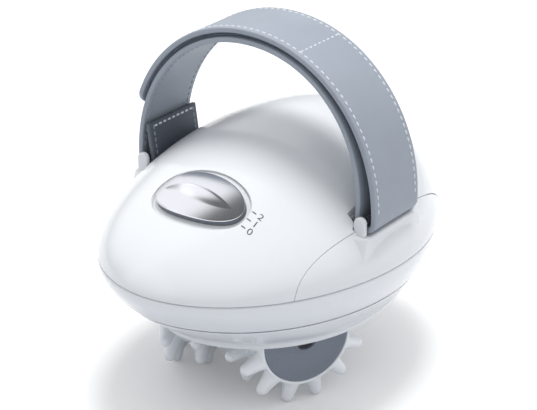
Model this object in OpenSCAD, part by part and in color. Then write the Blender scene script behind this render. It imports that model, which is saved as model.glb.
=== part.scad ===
// Hand-held body massager: an egg-shaped housing on two driven rollers with
// rows of soft studs, held by an adjustable strap over the back of the hand.
// +X points to the side of the strap's turn-back bar, -Y to the narrow end
// with the switch, +Z up. The origin lies on the surface that the studs rest
// on, below the middle of the housing. All sizes are in millimetres.

/* [Housing] */
// Length of the housing
body_l = 150; // [140:1:160]
// Width of the housing
body_w = 112; // [106:1:118]
// Height of the domed cover above the widest line
dome_h = 38.8; // [34:0.2:44]
// Depth of the full bowl below the widest line, which the base cuts off
bowl_h = 46.6; // [43:0.2:50]
// Height of the widest line above the roller axles
waist_lift = 30.1; // [28:0.1:34]
// Height of the main seam above the roller axles
seam_lift = 27.4; // [26:0.1:29]
// Height of the lower seam above the roller axles
base_seam_lift = 14.1; // [12:0.1:16]
// Height of the base rim above the roller axles
rim_lift = 1.6; // [1:0.1:3]
// Wall thickness of the housing
wall = 2.2; // [1.6:0.1:2.6]
// Joint line between two covers
seam_gap = 0.25; // [0.1:0.05:0.4]

/* [Side covers] */
// Length of each arched side cover along the main seam
arch_l = 95; // [86:1:104]
// Height of each arched side cover above the main seam
arch_h = 18; // [16:0.5:20]
// How far the anchor pad stands out beyond the strap bar
pad_out = 3.6; // [3:0.1:4.5]
// Length of the anchor pad's ledge
pad_l = 33; // [30:0.5:36]

/* [Strap] */
// Width of the strap
strap_w = 28; // [24:0.5:30]
// Thickness of the strap
strap_t = 2; // [1.6:0.1:2.4]
// Thickness of the hook tape and of the loop tape
tape_t = 0.74; // [0.5:0.02:0.9]
// Play between the layers of the closed strap
tape_play = 0.2; // [0.1:0.05:0.4]
// Room for the hand between the dome and the strap
hand_gap = 32; // [28:1:38]
// Radius of the strap bars
bar_r = 1.4; // [1.2:0.1:1.6]
// Height of the strap bars above the widest line
bar_lift = 18; // [17:0.5:19]
// Distance of each strap bar from the housing's full half width
bar_inset = 6.8; // [6:0.1:8]
// Place of the strap's middle along the housing
strap_y = 2; // [-2:0.5:6]

/* [Switch] */
// Place of the switch along the housing
switch_y = -42.4; // [-44:0.2:-40]
// Slope of the switch track
switch_slope = 24; // [22:0.5:26]
// Length of the oval knob across the housing
knob_w = 36.8; // [35:0.2:38]
// Width of the oval knob along the track
knob_l = 20.7; // [19.5:0.1:21.5]
// Travel between the first and the last switch position
knob_travel = 4.2; // [3.6:0.2:4.8]
// Depth of the knob's recess
recess_h = 1.2; // [1:0.1:1.8]

/* [Rollers] */
// Radius of the roller's drum
drum_r = 18.3; // [17:0.1:19]
// Radius to the tip of a stud
stud_reach = 26.7; // [25:0.1:27.5]
// Number of studs in one ring
stud_count = 13; // [11:1:14]
// Radius of a stud's rounded tip
stud_tip_r = 2.3; // [2.1:0.1:2.5]
// Radius of a stud at the drum
stud_root_r = 3.5; // [3.2:0.1:3.6]
// Distance between the two rings of studs
ring_pitch = 12; // [11.5:0.1:12.2]
// Distance from the roller's outer face to its first ring
ring_start = 3.7; // [3.6:0.1:3.9]
// Length of the roller
roller_l = 19.6; // [19:0.1:20]
// Toe angle of each roller
toe = 25.7; // [22:0.5:28]
// Place of the roller's outer face across the housing
roller_x = 32; // [31:0.5:33]
// Place of the roller's outer face along the housing
roller_y = -21.2; // [-22:0.2:-18]
// Radius of the grey end disc
disc_r = 17.2; // [16:0.1:17.4]
// Thickness of the end discs
disc_t = 2.2; // [1.6:0.1:2.6]
// Radius of the roller shaft
shaft_r = 2.5; // [2:0.1:3]

/* [Drive] */
// Module of the worm drive
gear_module = 1.25; // [1.2:0.05:1.3]
// Number of teeth on each worm wheel
wheel_teeth = 18; // [17:1:19]
// Pitch radius of the worm
worm_r = 3.75; // [3.5:0.05:4]
// Thickness of each worm wheel
wheel_t = 3; // [2:0.1:3.2]
// Radius of the motor
motor_r = 17; // [14:0.5:17.5]
// Height of the motor
motor_h = 13.5; // [12:0.5:14]
// Radius of the motor shaft
motor_shaft_r = 1.25; // [1:0.05:1.5]
// Radial clearance of a running shaft
run_gap = 0.05; // [0.02:0.01:0.1]

/* [Hidden] */
white = [0.93, 0.94, 0.95];
slate = [0.45, 0.49, 0.54];
steel = [0.72, 0.73, 0.75];
strap_grey = [0.62, 0.66, 0.71];
eps = 0.01;
round_fn = 64;

// Heights that follow from the studs and the named lifts
stud_step = 360 / stud_count;
axle_z = (stud_reach - stud_tip_r) * cos(stud_step / 2) + stud_tip_r;
waist_z = axle_z + waist_lift;
seam_z = axle_z + seam_lift;
base_seam_z = axle_z + base_seam_lift;
rim_z = axle_z + rim_lift;

// Form of the egg: how its width and heights change along the length
waist_tilt = 0.016;
seam_tilt = -0.031;
base_seam_tilt = -0.034;
width_power = 1.03;
width_rear = 0.026;
width_mid = 0.015;
dome_power = 1.08;
dome_rear = 0.296;
bowl_power = 1.03;
bowl_rear = 0.216;
bowl_mid = -0.24;
dome_round = 1.7;
bowl_round = 1.82;
outline_sides = 56;
skin_steps = 12;

function place(y, t) = max(-0.9999, min(0.9999, y / (body_l / 2 - t)));
function taper(c) = sqrt(1 - c * c);
function waist(y) = waist_z + waist_tilt * y;
function half_width(y, t) = let (c = place(y, t))
    (body_w / 2 - t) * pow(taper(c), width_power) * (1 + width_rear * c + width_mid * c * c);
function rise(y, t) = let (c = place(y, t))
    (dome_h - t) * pow(taper(c), dome_power) * (1 + dome_rear * c);
function drop(y, t) = let (c = place(y, t))
    (bowl_h - t) * pow(taper(c), bowl_power) * (1 + bowl_rear * c + bowl_mid * c * c);
function dome_top(y) = waist(y) + rise(y, 0);

// Half width of the egg at length y and height z, and its ends on a sloping plane
function edge_x(y, z, t) = let (
        d = z - waist(y),
        h = d >= 0 ? rise(y, t) : drop(y, t),
        n = d >= 0 ? dome_round : bowl_round)
    half_width(y, t) * pow(max(0, 1 - pow(abs(d) / h, n)), 1 / n);
function spare(y, p, t) = let (d = p[0] + p[1] * y - waist(y))
    d >= 0 ? rise(y, t) - d : drop(y, t) + d;
function end_y(inside, outside, p, t, tries = 26) =
    tries == 0 ? inside :
    let (mid = (inside + outside) / 2)
    spare(mid, p, t) > 0 ? end_y(mid, outside, p, t, tries - 1)
                         : end_y(inside, mid, p, t, tries - 1);
function outline(p, t, middle, sides) = let (
        front = end_y(middle, t - body_l / 2, p, t),
        rear = end_y(middle, body_l / 2 - t, p, t),
        centre = (front + rear) / 2,
        half = (rear - front) / 2)
    [for (i = [0:sides - 1]) let (
        q = 360 * i / sides,
        y = centre - half * cos(q),
        z = p[0] + p[1] * y)
        [i % (sides / 2) == 0 ? 0 : sign(sin(q)) * edge_x(y, z, t), y, z]];
crown_list = [for (y = [0:1:body_l / 3]) dome_top(y)];
crown_z = max(crown_list);
crown_y = search(crown_z, crown_list)[0];

// A closed solid through a stack of outlines with the same number of points
module stack(rings) {
    n = len(rings[0]);
    top = len(rings) - 1;
    polyhedron(
        points = [for (ring = rings) for (point = ring) point],
        faces = [
            [for (i = [0:n - 1]) i],
            [for (i = [n - 1:-1:0]) top * n + i],
            for (k = [0:top - 1]) for (i = [0:n - 1]) let (j = (i + 1) % n)
                each [[k * n + i, (k + 1) * n + i, (k + 1) * n + j],
                      [k * n + i, (k + 1) * n + j, k * n + j]]]);
}

// The egg between two planes, or from a plane up to the crown of the dome,
// drawn in by t all round
function between(low, high, steps) =
    [for (i = [0:steps]) low + (high - low) * i / steps];
module egg_band(low, high, t, steps, sides = outline_sides) {
    stack([for (p = between(low, high, steps)) outline(p, t, 0, sides)]);
}
module egg_dome(low, t, steps, sides = outline_sides) {
    top = waist(crown_y) + rise(crown_y, t);
    planes = [for (i = [0:steps]) let (f = sin(88 * i / steps))
        [low[0] + (top - low[0]) * f, low[1] * (1 - f)]];
    stack([for (p = planes) outline(p, t, crown_y, sides)]);
}

seam_plane = [seam_z, seam_tilt];
base_plane = [base_seam_z, base_seam_tilt];

// Oval of the given size, a little fuller than an ellipse
oval_round = 2.1;
function oval_at(w, l, q) = [w / 2 * sign(cos(q)) * pow(abs(cos(q)), 2 / oval_round),
    l / 2 * sign(sin(q)) * pow(abs(sin(q)), 2 / oval_round)];
module oval(w, l, sides = 48) {
    polygon([for (i = [0:sides - 1]) oval_at(w, l, 360 * i / sides)]);
}

// Side covers: arched outline in the plane of length and height
arch_y = 2;
arch_round = 2.2;
function arch_points(grow) = [for (i = [0:32]) let (q = 180 * i / 32)
    [arch_y - (arch_l / 2 + grow) * sign(cos(q)) * pow(abs(cos(q)), 2 / arch_round),
     seam_z + (arch_h + grow) * pow(abs(sin(q)), 2 / arch_round)]];
module arch_prism(grow) {
    points = concat([[arch_y + arch_l / 2 + grow, seam_z - 6],
                     [arch_y - arch_l / 2 - grow, seam_z - 6]], arch_points(grow));
    translate([body_w / 4, 0, 0]) rotate([90, 0, 90]) linear_extrude(body_w / 2) polygon(points);
}

// Strap anchor: bar, ears and the pocket that the strap dips into
bar_x = body_w / 2 - bar_inset;
bar_z = waist_z + bar_lift;
ear_r = 2.3;
ear_t = 2;
strap_room = 0.6;
ear_gap = strap_w / 2 + strap_room;
pocket_floor = bar_z - bar_r - strap_t - 1.6;
pocket_x = bar_x - bar_r - strap_t - 2.6;
module strap_pocket(grow) {
    translate([pocket_x - grow, strap_y - ear_gap - grow, pocket_floor - grow])
        cube([body_w / 2, 2 * (ear_gap + grow), 30]);
}
module ears() {
    for (side = [-1, 1]) translate([0, strap_y + side * (ear_gap + ear_t / 2), 0]) {
        translate([bar_x, 0, bar_z]) rotate([90, 0, 0]) cylinder(h = ear_t, r = ear_r, center = true, $fn = round_fn);
        translate([bar_x - ear_r, -ear_t / 2, pocket_floor - 1]) cube([2 * ear_r, ear_t, bar_z - pocket_floor + 1]);
    }
}
// Wedge-shaped pad below the bar, whose ends run out into the side
pad_x = bar_x + pad_out;
module pad() {
    foot = waist_z + 0.5;
    front = strap_y - pad_l / 2;
    rear = strap_y + pad_l / 2;
    hull() {
        translate([pad_x - 0.1, front, pocket_floor - 0.1]) cube([0.1, pad_l, 0.1]);
        for (y = [front - 4.5, rear + 3]) translate([half_width(y, 0.4), y, foot]) cube(0.2);
        translate([bar_x - 6, 0, 0]) rotate([90, 0, 90]) linear_extrude(0.1)
            polygon([[front - 5, pocket_floor + 1.2], [rear + 4, pocket_floor + 1.2],
                     [rear + 8, foot - 1], [front - 9, foot - 1]]);
    }
}
module side_cover() {
    color(white) difference() {
        union() {
            intersection() {
                difference() {
                    egg_dome(seam_plane, 0, skin_steps);
                    egg_dome([seam_z - 2, seam_tilt], wall, 10);
                }
                arch_prism(0);
            }
            pad();
            ears();
            intersection() {
                egg_dome([seam_z - 2, seam_tilt], wall + 0.2, 6);
                strap_pocket(1.6);
                translate([0, -body_l / 2, 0]) cube([bar_x, body_l, bar_z + 20]);
            }
        }
        strap_pocket_cut();
        translate([bar_x, strap_y, bar_z]) rotate([90, 0, 0])
            cylinder(h = bar_length + 0.1, r = bar_r + 0.02, center = true, $fn = round_fn);
    }
}
// The pocket without the ears' place
module strap_pocket_cut() {
    translate([pocket_x, strap_y - ear_gap, pocket_floor]) cube([body_w / 2, 2 * ear_gap, 30]);
}
bar_length = 2 * (ear_gap + ear_t) - 1;
module strap_bar() {
    color(steel) translate([bar_x, strap_y, bar_z]) rotate([90, 0, 0])
        cylinder(h = bar_length, r = bar_r, center = true, $fn = round_fn);
}

// Switch track: a plane through the dome's surface, tilted along the slope
switch_z = dome_top(switch_y);
recess_w = knob_w + 2.8;
recess_l = knob_l + knob_travel + 1.4;
track_bow = 53;
floor_t = 2;
function bend(x, r) = sqrt(r * r - x * x) - r;
module on_track() {
    translate([0, switch_y, switch_z]) rotate([switch_slope, 0, 0]) children();
}
// Cylinder along the track whose back lies h below the dome's surface
module track_bend(h, length = 60) {
    translate([0, 0, -track_bow]) rotate([90, 0, 0])
        cylinder(h = length, r = track_bow - h, center = true, $fn = 180);
}
module recess_cut() {
    on_track() difference() {
        translate([0, 0, -10]) linear_extrude(20) oval(recess_w, recess_l);
        track_bend(recess_h);
    }
}
module recess_wall() {
    intersection() {
        on_track() difference() {
            intersection() {
                translate([0, 0, -14]) linear_extrude(16) oval(recess_w + 2 * wall, recess_l + 2 * wall);
                track_bend(0.4);
            }
            track_bend(recess_h + floor_t);
        }
        egg_dome(seam_plane, wall / 2, 6);
    }
}
stem_w = 8;
stem_l = 5;
// The switch hangs on two posts below the recess
post_x = 10;
post_w = 3;
floor_low = -recess_h - floor_t;
switch_top = floor_low - 2.6;
slider_top = floor_low + bend(stem_w / 2 + 4, track_bow) - 0.3;
slider_t = 1.2;
module top_cover() {
    color(white) difference() {
        union() {
            difference() {
                egg_dome(seam_plane, 0, skin_steps);
                egg_dome([seam_z - 2, seam_tilt], wall, 12);
            }
            recess_wall();
            on_track() for (side = [-1, 1])
                translate([side * post_x - post_w / 2, -4, switch_top]) cube([post_w, 8, 3]);
        }
        recess_cut();
        on_track() translate([-stem_w / 2 - 0.3, -(stem_l + knob_travel) / 2 - 0.4, -12])
            cube([stem_w + 0.6, stem_l + knob_travel + 0.8, 14]);
        for (side = [0, 1]) mirror([side, 0, 0]) {
            arch_prism(seam_gap);
            strap_pocket(0.3);
            strap_pocket_liner_cut();
        }
    }
}
// Room in the top cover for the walls of the strap pocket
module strap_pocket_liner_cut() {
    translate([pocket_x - 0.3, strap_y - ear_gap - ear_t - 0.8, pocket_floor - 2])
        cube([body_w / 2, 2 * (ear_gap + ear_t + 0.8), 30]);
}

// Knob: oval slider that follows the bend of the track, with a lens-shaped grip
function knob_ring(w, l, h) = [for (i = [0:47]) let (v = oval_at(w, l, 360 * i / 48))
    [v[0], v[1], h + bend(v[0], track_bow)]];
function grip_ring(w, l, h) = [for (i = [0:47]) let (q = 360 * i / 48, x = w / 2 * cos(q))
    [x, l / 2 * sin(q) * abs(sin(q)), h + bend(x, track_bow)]];
module bent_stack(rings) {
    n = len(rings[0]);
    top = len(rings) - 1;
    strips = [for (i = [0:n / 2 - 1]) [i, i + 1, (n - i - 1) % n, (n - i) % n]];
    polyhedron(
        points = [for (ring = rings) for (point = ring) point],
        faces = concat(
            [for (s = strips) s[0] == s[3] ? [s[0], s[1], s[2]] : s[1] == s[2] ? [s[0], s[1], s[3]] : s],
            [for (s = strips) let (f = [s[3], s[2], s[1], s[0]], g = [for (v = f) v + top * n])
                s[0] == s[3] ? [g[1], g[2], g[3]] : s[1] == s[2] ? [g[0], g[1], g[3]] : g],
            [for (k = [0:top - 1]) for (i = [0:n - 1]) let (j = (i + 1) % n)
                each [[k * n + i, (k + 1) * n + i, (k + 1) * n + j],
                      [k * n + i, (k + 1) * n + j, k * n + j]]]));
}
knob_gap = 0.3;
knob_edge = 1.55;
grip_w = 29;
grip_l = 7.6;
module switch_knob() {
    base = knob_gap - recess_h;
    color(steel) on_track() {
        bent_stack([knob_ring(knob_w, knob_l, base),
            knob_ring(knob_w, knob_l, knob_edge - 0.4),
            knob_ring(knob_w - 0.8, knob_l - 0.8, knob_edge),
            knob_ring(knob_w * 0.8, knob_l * 0.8, knob_edge + 0.5),
            knob_ring(knob_w * 0.4, knob_l * 0.4, knob_edge + 1)]);
        translate([0, -0.6, knob_edge - 1]) bent_stack([grip_ring(grip_w, grip_l, 0),
            grip_ring(grip_w, grip_l, 1.2), grip_ring(grip_w * 0.86, grip_l * 0.6, 2.8),
            grip_ring(grip_w * 0.6, grip_l * 0.3, 3.8)]);
        translate([-stem_w / 2, -stem_l / 2, slider_top]) cube([stem_w, stem_l, knob_edge - slider_top]);
    }
}
// Slider plate below the recess, with a pin that reaches into the switch
pin_w = 3;
module switch_slider() {
    color("dimgray") on_track() translate([0, 0, slider_top - slider_t]) {
        translate([-stem_w / 2 - 4, -stem_l / 2 - 2, 0]) cube([stem_w + 8, stem_l + 4, slider_t]);
        translate([-pin_w / 2, -pin_w / 2, -2.4]) cube([pin_w, pin_w, 2.6]);
    }
}
switch_w = 2 * post_x + 4;
switch_l = 12;
switch_h = 3.4;
module switch_body() {
    slot_w = pin_w + 0.6;
    slot_l = pin_w + knob_travel + 0.8;
    color("dimgray") on_track() translate([0, 0, switch_top]) difference() {
        translate([-switch_w / 2, -switch_l / 2, -switch_h]) cube([switch_w, switch_l, switch_h]);
        translate([-slot_w / 2, -slot_l / 2, -2.2]) cube([slot_w, slot_l, 3]);
    }
}

// Lower housing: the ring between the two seams, with a lip inside the top
// cover and bosses for the base screws
screw_places = [[36, 18, 0], [-36, 18, 180], [0, -42.5, -90], [20, 45, 60], [-20, 45, 120]];
boss_r = 3.2;
screw_r = 1.3;
boss_foot = rim_z + 3.4;
module lower_housing() {
    low = base_plane;
    high = seam_plane - [seam_gap, 0];
    color(white) difference() {
        union() {
            difference() {
                egg_band(low, high, 0, 4);
                egg_band(low - [1, 0], high + [1, 0], wall, 3);
            }
            difference() {
                union() {
                    egg_band(high - [4, 0], high - [1, 0], wall - 0.6, 1);
                    egg_band(high - [2, 0], high + [2.4, 0], wall + 0.45, 1);
                }
                egg_band(high - [5, 0], high + [3, 0], wall + 1.5, 1);
                both_sides() translate([body_w / 4, arch_y - arch_l / 2 - 2, seam_z - 0.4])
                    cube([body_w, arch_l + 4, 12]);
            }
            intersection() {
                egg_band(low, high, wall / 2, 1);
                for (s = screw_places) translate([s[0], s[1], base_seam_z + 3]) rotate([0, 0, s[2]])
                    translate([0, -1, 0]) cube([34, 2, seam_z - base_seam_z - 7]);
            }
            for (s = screw_places) translate([s[0], s[1], boss_foot])
                cylinder(h = seam_z - boss_foot - 4, r = boss_r, $fn = round_fn);
        }
        for (s = screw_places) translate([s[0], s[1], boss_foot - 1])
            cylinder(h = 9, r = screw_r + 0.02, $fn = round_fn);
        gland_hole();
    }
}

// Cord gland: rubber collar in the rear of the lower housing
gland_r = 5.4;
gland_bore = 3.2;
gland_z = (seam_z + base_seam_z) / 2 - 1;
gland_end = body_l / 2 - 1;
gland_l = 11;
module gland_hole() {
    translate([0, gland_end + 5, gland_z]) rotate([90, 0, 0]) cylinder(h = 30, r = gland_r + 0.02, $fn = round_fn);
}
module cord_gland() {
    color("gray") translate([0, gland_end, gland_z]) rotate([90, 0, 0]) difference() {
        cylinder(h = gland_l, r = gland_r, $fn = round_fn);
        translate([0, 0, -1]) cylinder(h = gland_l + 2, r = gland_bore, $fn = round_fn);
    }
}

// Frame of a roller: X to the front, Y up, Z inwards from the outer face
module at_roller() {
    translate([roller_x, roller_y, axle_z]) rotate([0, 0, -(90 + toe)]) rotate([90, 0, 0]) children();
}
module both_sides() {
    for (side = [0, 1]) mirror([side, 0, 0]) children();
}

// Base plate: rim, flat underside and the two roller wells
base_t = 2;
well_gap = 0.6;
well_r = stud_reach + well_gap;
well_t = 1.2;
well_out = 0.8;
case_gap = 0.9;
case_start = roller_l + case_gap;
module well(grow, extra) {
    at_roller() translate([0, 0, -well_out - extra])
        cylinder(h = well_out + case_start - 0.2 + extra, r = well_r + grow, $fn = 96);
}
// Scoops in the front of the base, beside the wells
scoop_x = 25.6;
scoop_y = -50.2;
scoop_z = rim_z + 7.4;
scoop_r = 5;
module scoops(grow) {
    both_sides() translate([scoop_x, scoop_y, scoop_z]) scale([0.85, 1, 0.95]) sphere(r = scoop_r + grow, $fn = 32);
}
module base_plate() {
    color(white) difference() {
        union() {
            difference() {
                rim_solid(0);
                translate([0, 0, base_t]) rim_solid(wall);
            }
            intersection() {
                both_sides() well(well_t, well_t);
                union() {
                    rim_solid(wall / 4);
                    translate([-body_w / 2, -body_l / 2, rim_z + 8]) cube([body_w, body_l, body_w / 2]);
                }
            }
            for (side = [-1, 1]) translate([side * board_post_x, board_y, rim_z + 1])
                cylinder(h = board_z - rim_z - 1, r = 3, $fn = round_fn);
            intersection() {
                scoops(1.4);
                rim_solid(0.8);
            }
        }
        both_sides() well(0, 0);
        scoops(0);
        case_cut();
        for (s = screw_places) translate([s[0], s[1], rim_z - 1]) {
            cylinder(h = 6, r = screw_r + 0.2, $fn = round_fn);
            cylinder(h = 2, r = screw_head_r + 0.2, $fn = round_fn);
        }
    }
}
// Outside of the base: the bowl between rim and lower seam, upright at the rim
rim_h = 1.6;
module rim_solid(t) {
    rim = [rim_z + rim_h, 0];
    rings = [for (p = between(rim, base_plane - [seam_gap, 0], 3)) outline(p, t, 0, outline_sides)];
    foot = [for (point = rings[0]) [point[0], point[1], rim_z]];
    stack([foot, for (ring = rings) ring]);
}
screw_head_r = 2.6;
module base_screws() {
    color(steel) for (s = screw_places) translate([s[0], s[1], rim_z + 0.2]) {
        difference() {
            cylinder(h = 0.8, r = screw_head_r, $fn = round_fn);
            translate([0, 0, -0.1]) cylinder(h = 0.6, r = 1.2, $fn = 24);
        }
        cylinder(h = 9, r = screw_r, $fn = round_fn);
    }
}

// Worm drive: one upright worm between two wheels, one wheel per roller
wheel_r = gear_module * wheel_teeth / 2;
worm_pitch = PI * gear_module;
tooth_out = 0.88 * gear_module;
tooth_in = 1.12 * gear_module;
mesh_c = wheel_r + worm_r;
worm_s = (roller_x - mesh_c * sin(toe)) / cos(toe);
worm_y = roller_y + worm_s * sin(toe) - mesh_c * cos(toe);
wheel_out = 0.5;
wheel_s = worm_s - wheel_out - wheel_t / 2;
bush_r = shaft_r + 1.6;
// The thread has climbed this far between the two wheels
left_phase = worm_pitch * 2 * toe / 360 / wheel_r * 180 / PI;
module tooth_2d() {
    root = wheel_r - tooth_in - 0.4;
    polygon([[root, -0.27 * worm_pitch], [wheel_r, -0.2 * worm_pitch],
        [wheel_r + tooth_out, -0.11 * worm_pitch], [wheel_r + tooth_out, 0.11 * worm_pitch],
        [wheel_r, 0.2 * worm_pitch], [root, 0.27 * worm_pitch]]);
}
module worm_wheel(phase) {
    color("wheat") at_roller() translate([0, 0, wheel_s]) difference() {
        union() {
            linear_extrude(wheel_t) {
                circle(r = wheel_r - tooth_in, $fn = 72);
                for (k = [0:wheel_teeth - 1]) rotate([0, 0, phase + 360 * k / wheel_teeth]) tooth_2d();
            }
            translate([0, 0, -0.6]) cylinder(h = wheel_t + 0.9, r = shaft_r + 2.2, $fn = round_fn);
        }
        translate([0, 0, -1]) cylinder(h = wheel_t + 2, r = shaft_r, $fn = round_fn);
    }
}
worm_l = 13;
thread_turns = 3;
thread_steps = 18;
function thread_ring(q) = let (
        z = worm_pitch * (q - (90 - toe)) / 360 + worm_pitch / 2,
        low = worm_r - tooth_in - 0.3,
        high = worm_r + tooth_out)
    [for (v = [[low, 0.27], [high, 0.1], [high, -0.1], [low, -0.27]])
        [v[0] * cos(q), v[0] * sin(q), z + v[1] * worm_pitch]];
module thread() {
    from = (90 - toe) - 360 * (thread_turns / 2 + 0.5);
    stack([for (i = [0:thread_turns * thread_steps]) thread_ring(from + i * 360 / thread_steps)]);
}
module worm() {
    color("wheat") translate([0, worm_y, axle_z]) difference() {
        union() {
            thread();
            translate([0, 0, -worm_l / 2]) cylinder(h = worm_l, r = worm_r - tooth_in, $fn = round_fn);
        }
        translate([0, 0, -worm_l]) cylinder(h = 2 * worm_l, r = motor_shaft_r, $fn = round_fn);
    }
}

// Gearbox: its sides stand square to the roller axes
hollow_r = (wheel_r + tooth_out + 0.5) / cos(15);
case_round = hollow_r + 1.8;
case_top = axle_z + well_r + well_t + 1;
case_front = 6.8;
case_rear = 30;
function case_corner(s, t) = [roller_x - s * cos(toe) + t * sin(toe), roller_y + s * sin(toe) + t * cos(toe)];
function case_front_t(s) = (worm_y - case_front - roller_y - s * sin(toe)) / cos(toe);
module case_outline(s) {
    a = case_corner(s, case_front_t(s));
    b = case_corner(s, case_front_t(s) + case_rear + 8);
    polygon([a, b, [-b[0], b[1]], [-a[0], a[1]]]);
}
module case_hollows() {
    both_sides() at_roller() {
        translate([0, 0, wheel_s - 0.9]) rotate([0, 0, 15]) cylinder(h = wheel_t + 1.5, r = hollow_r, $fn = 12);
        translate([0, 0, case_start - 1]) cylinder(h = 6, r = bush_r, $fn = round_fn);
        translate([0, 0, wheel_s + 1])
            cylinder(h = shaft_end - wheel_s - 0.8, r = shaft_r + run_gap, $fn = round_fn);
    }
    translate([0, worm_y, axle_z - worm_l / 2 - 0.6])
        cylinder(h = worm_l + 2, r = worm_r + tooth_out + 0.6, $fn = round_fn);
    translate([0, worm_y, axle_z - worm_l / 2 - 1])
        cylinder(h = 60, r = motor_shaft_r + run_gap, $fn = round_fn);
}
// The lower half carries both shafts; the cap closes it and carries the motor
split_z = axle_z + bush_r + 1.6;
module gearbox_housing() {
    color("gainsboro") difference() {
        intersection() {
            translate([0, 0, axle_z - case_round]) linear_extrude(split_z - axle_z + case_round)
                case_outline(case_start);
            union() {
                both_sides() at_roller() translate([0, 0, case_start - 1]) rotate([0, 0, 15])
                    cylinder(h = 16, r = case_round, $fn = 12);
                translate([-10, worm_y - case_front, axle_z - worm_l / 2 - 1.4]) cube([20, 16, 20]);
                translate([-60, -60, axle_z]) cube([120, 120, 40]);
            }
        }
        case_hollows();
    }
}
module gearbox_cap() {
    color("gainsboro") difference() {
        translate([0, 0, split_z]) linear_extrude(case_top - split_z) case_outline(case_start);
        case_hollows();
    }
}
module case_cut() {
    translate([0, 0, rim_z - 5]) linear_extrude(60) offset(delta = 0.25) case_outline(case_start - 0.2);
}

// Motor with its shaft upright over the gearbox
module motor_can() {
    color("silver") translate([0, worm_y, case_top]) difference() {
        union() {
            cylinder(h = motor_h, r = motor_r, $fn = 96);
            translate([0, 0, motor_h - eps]) cylinder(h = 1, r = 4, $fn = round_fn);
        }
        translate([0, 0, -1]) cylinder(h = motor_h + 3, r = motor_shaft_r + run_gap, $fn = round_fn);
    }
}
module motor_shaft() {
    color(steel) translate([0, worm_y, axle_z - worm_l / 2])
        cylinder(h = case_top + motor_h + 0.5 - axle_z + worm_l / 2, r = motor_shaft_r, $fn = round_fn);
}

// Roller: studded soft sleeve on a core, closed by two discs
core_r = drum_r - 2.8;
module stud(ring_s, angle) {
    slope = (stud_root_r - stud_tip_r) / (stud_reach - stud_tip_r - drum_r + 1);
    translate([0, 0, ring_s]) rotate([0, 0, angle]) rotate([0, 90, 0]) {
        translate([0, 0, drum_r - 1])
            cylinder(h = stud_reach - stud_tip_r - drum_r + 1, r1 = stud_root_r, r2 = stud_tip_r, $fn = 24);
        translate([0, 0, stud_reach - stud_tip_r]) sphere(r = stud_tip_r, $fn = 24);
    }
}
module roller_sleeve() {
    color(white) at_roller() difference() {
        union() {
            cylinder(h = roller_l, r = drum_r, $fn = 96);
            for (ring = [0, 1]) for (k = [0:stud_count - 1])
                stud(ring_start + ring * ring_pitch, -90 + (k + 0.5) * stud_step);
        }
        translate([0, 0, -1]) cylinder(h = disc_t + 1, r = disc_r, $fn = 96);
        translate([0, 0, -1]) cylinder(h = roller_l + 2, r = core_r, $fn = 96);
        translate([0, 0, roller_l - disc_t]) cylinder(h = disc_t + 1, r = disc_r, $fn = 96);
    }
}
module roller_core() {
    color("gainsboro") at_roller() translate([0, 0, disc_t]) difference() {
        cylinder(h = roller_l - 2 * disc_t, r = core_r, $fn = 96);
        translate([0, 0, -1]) cylinder(h = roller_l, r = shaft_r, $fn = round_fn);
        for (end = [-1, roller_l - 2 * disc_t - 4]) translate([0, 0, end]) difference() {
            cylinder(h = 5, r = core_r - 2, $fn = 96);
            translate([0, 0, -1]) cylinder(h = 8, r = shaft_r + 2.5, $fn = round_fn);
        }
    }
}
hole_r = 4.3;
module outer_disc() {
    color(slate) at_roller() difference() {
        cylinder(h = disc_t, r = disc_r, $fn = 96);
        translate([0, 0, -1]) cylinder(h = disc_t + 2, r = hole_r, $fn = round_fn);
    }
}
module inner_disc() {
    color(slate) at_roller() translate([0, 0, roller_l - disc_t]) difference() {
        cylinder(h = disc_t, r = disc_r, $fn = 96);
        translate([0, 0, -1]) cylinder(h = disc_t + 2, r = shaft_r, $fn = round_fn);
    }
}
shaft_end = wheel_s + wheel_t + 2.4;
thread_hole = 1.2;
module roller_shaft() {
    color(steel) at_roller() translate([0, 0, disc_t]) difference() {
        cylinder(h = shaft_end - disc_t, r = shaft_r, $fn = round_fn);
        translate([0, 0, -1]) cylinder(h = 8, r = thread_hole, $fn = round_fn);
    }
}
screw_flange_t = 0.6;
module end_screw() {
    color(steel) at_roller() {
        translate([0, 0, disc_t - screw_flange_t]) cylinder(h = screw_flange_t, r = hole_r - 0.4, $fn = round_fn);
        difference() {
            translate([0, 0, disc_t - 1.7]) cylinder(h = 1.6, r = 2.1, $fn = round_fn);
            translate([0, 0, disc_t - 2]) cylinder(h = 1.2, r = 1.1, $fn = 6);
        }
        translate([0, 0, disc_t - eps]) cylinder(h = 6, r = thread_hole, $fn = round_fn);
    }
}
module shaft_bush() {
    color("goldenrod") at_roller() translate([0, 0, case_start]) difference() {
        cylinder(h = wheel_s - 1 - case_start, r = bush_r, $fn = round_fn);
        translate([0, 0, -1]) cylinder(h = 20, r = shaft_r + run_gap, $fn = round_fn);
    }
}

// Circuit board on two posts of the base plate
board_w = 46;
board_l = 24;
board_y = 0.23 * body_l;
board_z = rim_z + 22;
board_post_x = 17;
board_t = 1.6;
module circuit_board() {
    color("seagreen") translate([0, board_y, board_z]) {
        translate([-board_w / 2, -board_l / 2, 0]) cube([board_w, board_l, board_t]);
        translate([-board_w / 4 - 6, -7, board_t]) cube([12, 14, 7]);
        translate([board_w / 4 - 5, -6, board_t]) cube([10, 9, 9]);
    }
}

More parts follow.
